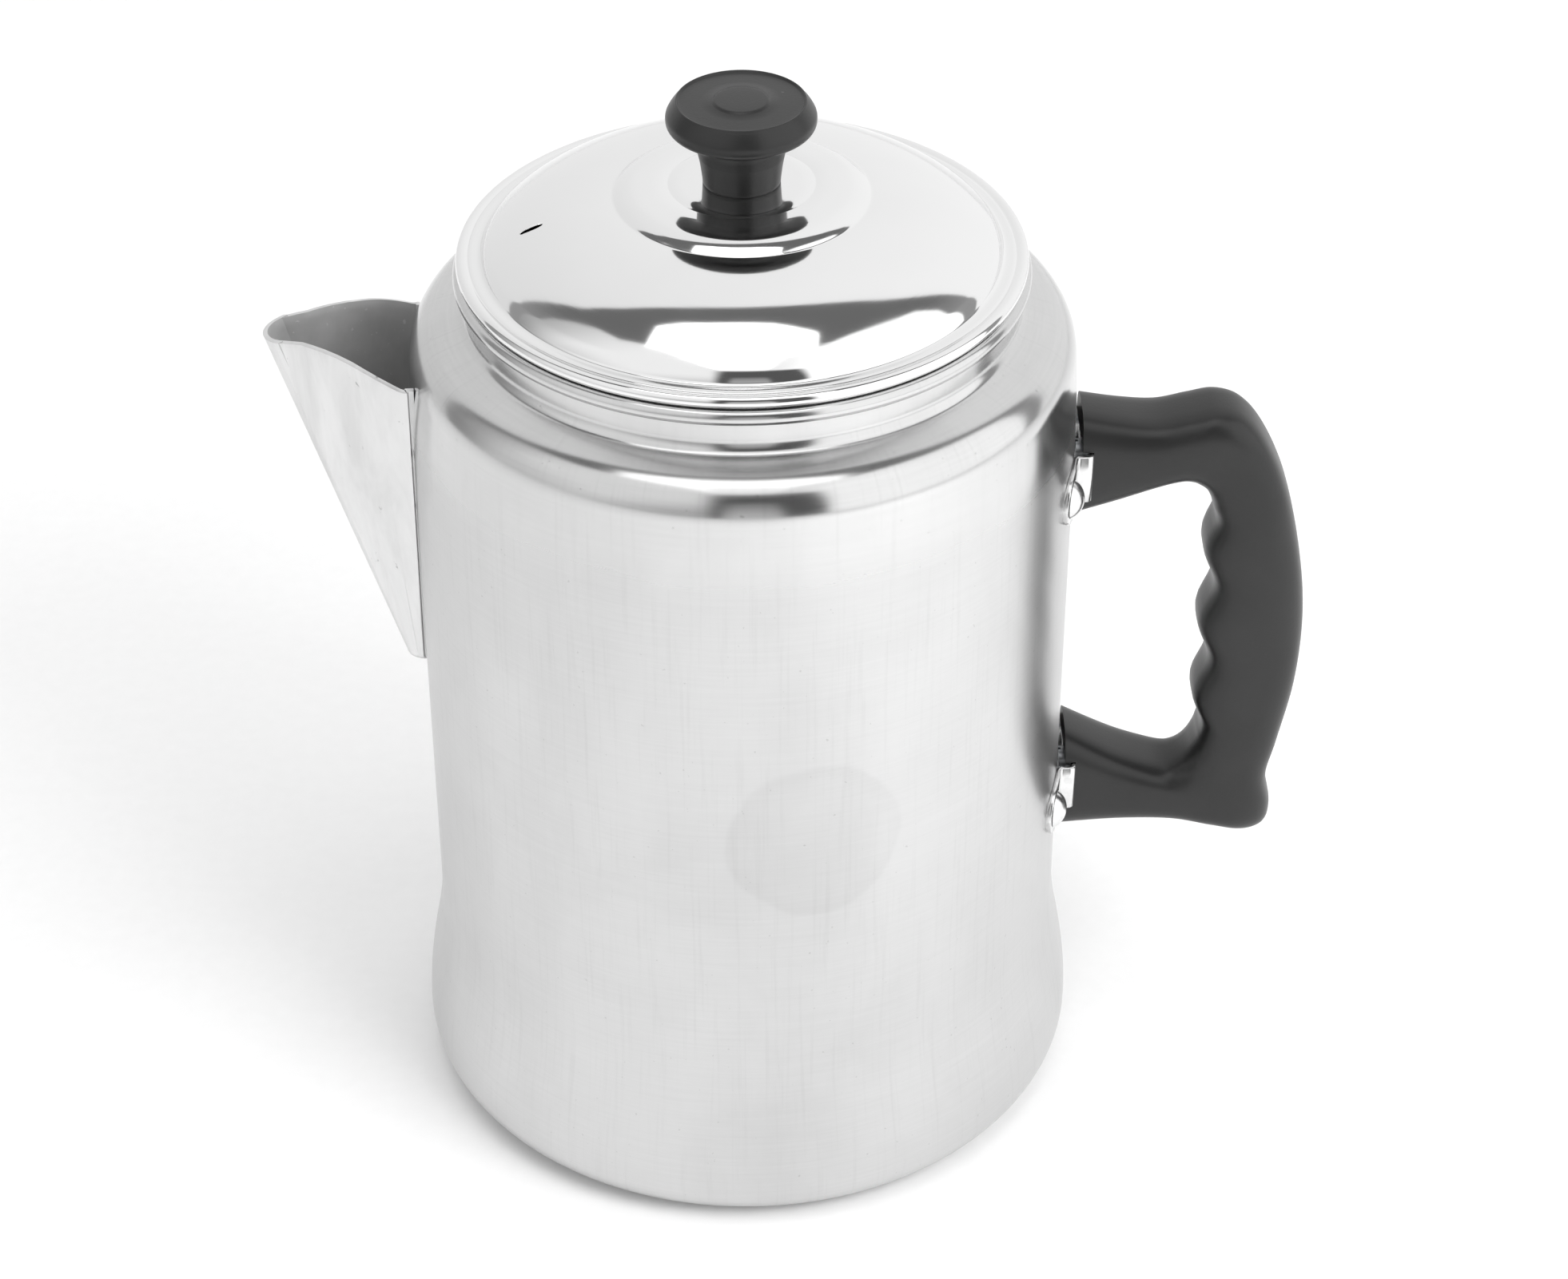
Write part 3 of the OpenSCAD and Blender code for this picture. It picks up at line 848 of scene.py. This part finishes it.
def make_spout():
    top, foot = spout_section()
    _, foot_z, foot_r = SPOUT_BOTTOM
    turns, levels = 8, 40
    rows = []
    for k in range(turns):
        a = math.radians(90 - 90 * k / turns)
        rows.append([(-WALL_R + (x + WALL_R) * math.cos(a), y * math.cos(a), foot_z - foot_r * math.sin(a))
                     for x, y in foot])
    for k in range(levels + 1):
        v = k / levels
        row = []
        for (tx, ty), (fx, fy) in zip(top, foot):
            out = min(1.0, max(0.0, (-tx - WALL_R) / (-SPOUT_TIP_X - WALL_R)))
            rim_z = SPOUT_RIM[0] + (SPOUT_RIM[1] - SPOUT_RIM[0]) * out
            rim_z += SPOUT_ARCH * math.sin(math.pi * out)
            row.append((fx + (tx - fx) * v, fy + (ty - fy) * v, foot_z + (rim_z - foot_z) * v))
        rows.append(row)
    verts, faces = [], []
    count = 2 * len(top) - 1
    for row in rows:
        verts += row + [(x, -y, z) for x, y, z in row[-2::-1]]
    for i in range(len(rows) - 1):
        for k in range(count - 1):
            faces.append([i * count + k, i * count + k + 1, (i + 1) * count + k + 1, (i + 1) * count + k])
    spout = new_piece("pot_spout", verts, faces, SPOUT_CREASE)
    # An open sheet may come out facing inwards. Its faces are to point away from its middle
    middle_x = (SPOUT_TIP_X - WALL_R) / 2 * MM
    outward = sum(1 if f.normal.x * (f.center.x - middle_x) + f.normal.y * f.center.y > 0 else -1
                  for f in spout.data.polygons)
    if outward < 0:
        spout.data.flip_normals()
    spout.data.materials.append(spout_aluminium())
    # The spout's inside takes a darker matt grey, which is painted shade for its hollow.
    spout.data.materials.append(dull_aluminium_painted_shade())
    solid = spout.modifiers.new("sheet", "SOLIDIFY")
    solid.thickness = 1.1 * MM
    solid.offset = -1
    solid.use_even_offset = True
    solid.use_quality_normals = True
    solid.material_offset = 1
    solid.material_offset_rim = 0
    bevel = spout.modifiers.new("edge", "BEVEL")
    bevel.width = 0.3 * MM
    bevel.segments = 2
    bevel.limit_method = "ANGLE"
    bevel.angle_limit = math.radians(60)
    bake_modifiers(spout)
    shade(spout, SPOUT_CREASE)
    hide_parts("spout")
    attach(spout, "pot")


# ---------------------------------------------------------------- small CAD pieces

def dress(node, material):
    """Gives a CAD node its finish."""
    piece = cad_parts[node]
    piece.data.materials.clear()
    piece.data.materials.append(material)


def dress_fixings():
    brass = small_metal("brass", (0.78, 0.58, 0.28), 0.22, 900)
    zinc = small_metal("zinc_steel", (0.60, 0.62, 0.64), 0.25, 900)
    rivet = small_metal("rivet_aluminium", (0.88, 0.88, 0.88), 0.16, 800)
    dress("bracket_rivets", rivet)
    dress("handle_inserts", brass)
    dress("handle_screws", zinc)
    dress("handle_spring_washers", zinc)
    dress("lid_collar", collar_aluminium())
    dress("knob_insert", brass)
    dress("knob_screw", zinc)
    dress("knob_washer", zinc)


# ---------------------------------------------------------------- studio

def make_camera():
    """In front and above, looking 36 degrees down and very slightly to the right."""
    data = bpy.data.cameras.new("camera")
    camera = bpy.data.objects.new("camera", data)
    bpy.context.scene.collection.objects.link(camera)
    data.sensor_width = 36
    data.lens = 83.93
    data.clip_end = 50
    camera.location = (0, -0.6992, 0.6215)
    down, right = math.radians(36.0), math.radians(0.75)
    aim = Vector((math.sin(right) * math.cos(down), math.cos(right) * math.cos(down), -math.sin(down)))
    camera.rotation_euler = aim.to_track_quat("-Z", "Y").to_euler()
    bpy.context.scene.camera = camera


def make_floor():
    """A round floor, wide enough that its edge is out of sight from the photo's height."""
    verts, faces = [(0, 0, 0)], []
    rings = [150, 400, 1000, 2500]
    count = 96
    turns = [2 * math.pi * k / count for k in range(count)]
    for r in rings:
        verts += [(r * math.cos(t), r * math.sin(t), 0) for t in turns]
    for k in range(count):
        m = (k + 1) % count
        faces.append([0, 1 + k, 1 + m])
        for i in range(len(rings) - 1):
            inner, outer = 1 + i * count, 1 + (i + 1) * count
            faces.append([inner + k, outer + k, outer + m, inner + m])
    floor = new_piece("floor", verts, faces)
    floor.data.materials.append(pale_floor())


def area_light(name, place, aim, size, power):
    """A square soft light. It doesn't show in what the metal reflects, where the sky's panels do."""
    data = bpy.data.lights.new(name, "AREA")
    data.shape = "SQUARE"
    data.size = size
    data.energy = power
    light = bpy.data.objects.new(name, data)
    light.location = place
    light.rotation_euler = (Vector(aim) - Vector(place)).to_track_quat("-Z", "Y").to_euler()
    light.visible_glossy = False
    bpy.context.scene.collection.objects.link(light)


# Edges seen overhead, as (across, back) in degrees from the zenith: the dark gap between the tent's
# sweep and its front panels, and the opening that the main light comes through
GAP_FAR = [(-90, 33), (-63, 32), (-52, 29.5), (-42, 21.5), (-36, 16.5), (-25, 14.5), (0, 15.5),
           (13, 16.5), (29, 18.5), (34.5, 20.5), (40, 23.5), (46, 27.5), (53, 32), (74, 34), (90, 32)]
GAP_NEAR = [(-90, 22), (-61, 21), (-48, 16.5), (-41, 10.5), (-36, 5.5), (-31.5, -2), (-25, -6),
            (-10, -12), (10, -14), (19, -9), (22.5, -6), (26.5, -1), (36.5, 10), (41, 15.5), (48, 19.5),
            (61, 20), (90, 19)]
OPENING_FAR = [(-90, -30), (-25.5, -7), (-19.5, 4), (-13, 5.5), (0, 5.5), (6.5, 5), (12, 2.5),
               (18, -0.5), (19.5, -9), (21, -30), (90, -30)]
OPENING_NEAR = [(-90, -6), (-25.5, -7), (-20.5, -11), (-16.5, -15.5), (-12.5, -19), (-8, -30), (8, -30),
                (9.5, -18), (13, -14), (19.5, -9), (90, -9)]


class Sky(Tree):
    """Light levels by direction. across and back are degrees from the zenith, towards +X and +Y."""

    # The lowest value that a line of points may have, and the span above it
    ACROSS = (-90, 180)
    BACK = (-30, 90)

    def __init__(self, tree):
        super().__init__(tree)
        node = tree.nodes.new("ShaderNodeSeparateXYZ")
        tree.links.new(tree.nodes.new("ShaderNodeTexCoord").outputs["Generated"], node.inputs[0])
        x, y, z = node.outputs
        tilt = self.math("MULTIPLY", self.math("ARCCOSINE", z), 180 / math.pi)
        share = self.math("DIVIDE", tilt, self.math("MAXIMUM", self.length(x, y), 1e-4))
        self.across = self.math("MULTIPLY", x, share)
        self.back = self.math("MULTIPLY", y, share)

    def line(self, points):
        """The back of a line of (across, back) points, at each direction's across."""
        node = self.tree.nodes.new("ShaderNodeFloatCurve")
        curve_map = node.mapping.curves[0]
        low_x, wide_x = self.ACROSS
        low_y, wide_y = self.BACK
        scaled = [((x - low_x) / wide_x, (y - low_y) / wide_y) for x, y in points]
        curve_map.points[0].location = scaled[0]
        curve_map.points[1].location = scaled[-1]
        for place in scaled[1:-1]:
            curve_map.points.new(*place)
        for point in curve_map.points:
            point.handle_type = "VECTOR"
        node.mapping.update()
        share = self.math("DIVIDE", self.math("SUBTRACT", self.across, low_x), wide_x)
        self.plug(share, node.inputs["Value"])
        return self.add(low_y, node.outputs[0], wide_y)

    def over(self, below, mask, level):
        """level where the mask is 1, and below where it is 0."""
        return self.math("ADD", below, self.math("MULTIPLY", mask, self.math("SUBTRACT", level, below)))

    def both(self, *masks):
        """1 only where every mask is 1."""
        made = masks[0]
        for mask in masks[1:]:
            made = self.math("MULTIPLY", made, mask)
        return made

    def band(self, value, low, high, soft):
        """1 between low and high, with soft edges. Each may be a number or a socket."""
        up = self.between(self.math("SUBTRACT", value, low), -soft, soft)
        down = self.between(self.math("SUBTRACT", value, high), soft, -soft)
        return self.math("MULTIPLY", up, down)


def make_world():
    """A white tent: a sweep behind, panels left and right, an opening overhead and a dark front.

    The darker places show only in what reflects them. Straight to the camera the studio is plain white."""
    world = bpy.data.worlds.new("studio")
    bpy.context.scene.world = world
    world.use_nodes = True
    tree = world.node_tree
    sky = Sky(tree)
    across, back = sky.across, sky.back
    gap_far, gap_near = sky.line(GAP_FAR), sky.line(GAP_NEAR)
    past = sky.math("SUBTRACT", back, sky.math("MULTIPLY", sky.math("ADD", gap_far, gap_near), 0.5))

    # Beyond the gap is the sweep. This side of it are the left and the right panel
    sweep = sky.between(across, -90, 60, 0.80, 1.02)
    left = sky.between(back, 22, -12, 0.46, 0.98)
    left = sky.math("MULTIPLY", left, sky.between(back, -45, -85, 1.0, 0.55))
    left = sky.math("MULTIPLY", left, sky.between(across, -45, -90, 1.0, 0.75))
    right = sky.between(back, -70, -100, 1.35, 0.75)
    front = sky.over(left, sky.between(across, 8, 24), right)
    level = sky.over(front, sky.between(past, -0.8, 0.8), sweep)

    # The gap, and the bright opening with a strip of light on its near side
    darkness = sky.between(sky.math("ABSOLUTE", across), 40, 60, 0.15, 0.32)
    level = sky.over(level, sky.band(back, gap_near, gap_far, 0.7), darkness)
    opening = sky.band(back, sky.line(OPENING_NEAR), sky.line(OPENING_FAR), 0.6)
    level = sky.over(level, opening, 1.9)
    strip = sky.both(sky.band(across, -8.0, 8.0, 1.0), sky.band(back, -36, -16, 2.0))
    level = sky.over(level, strip, 1.3)

    # The dark front, wider further down, with a paler middle
    reach = sky.math("SUBTRACT", 0.0, back)
    left_edge = sky.add(-3.0, reach, -0.16)
    right_edge = sky.add(6.0, reach, 0.42)
    dark_front = sky.both(sky.band(across, left_edge, right_edge, 3.0), sky.between(reach, 30, 36))
    level = sky.over(level, dark_front, 0.10)
    inner_left = sky.math("ADD", left_edge, 7.0)
    inner_right = sky.add(-4.0, reach, 0.26)
    inner = sky.both(sky.band(across, inner_left, inner_right, 2.0), sky.between(reach, 50, 62))
    level = sky.over(level, inner, sky.between(reach, 55, 90, 0.30, 0.62))

    # The camera itself sees plain white
    light_path = tree.nodes.new("ShaderNodeLightPath")
    level = sky.over(level, light_path.outputs["Is Camera Ray"], 1.0)
    background = tree.nodes["Background"]
    tree.links.new(level, background.inputs[1])
    background.inputs[0].default_value = grey(1.0)


bpy.context.scene.view_settings.view_transform = "Standard"
make_camera()
make_world()
make_floor()
area_light("key", place=(0.62, -0.52, 0.75), aim=(0.17, -0.17, 0), size=0.5, power=5.6)
area_light("overhead", place=(-0.2, 0.1, 1.6), aim=(0, 0, 0), size=1.4, power=5.5)
make_body()
make_lid()
make_knob()
make_handle()
make_bracket("strap_upper", "upper_bracket", UPPER_Z)
make_bracket("strap_lower", "lower_bracket", LOWER_Z)
make_spout()
dress_fixings()
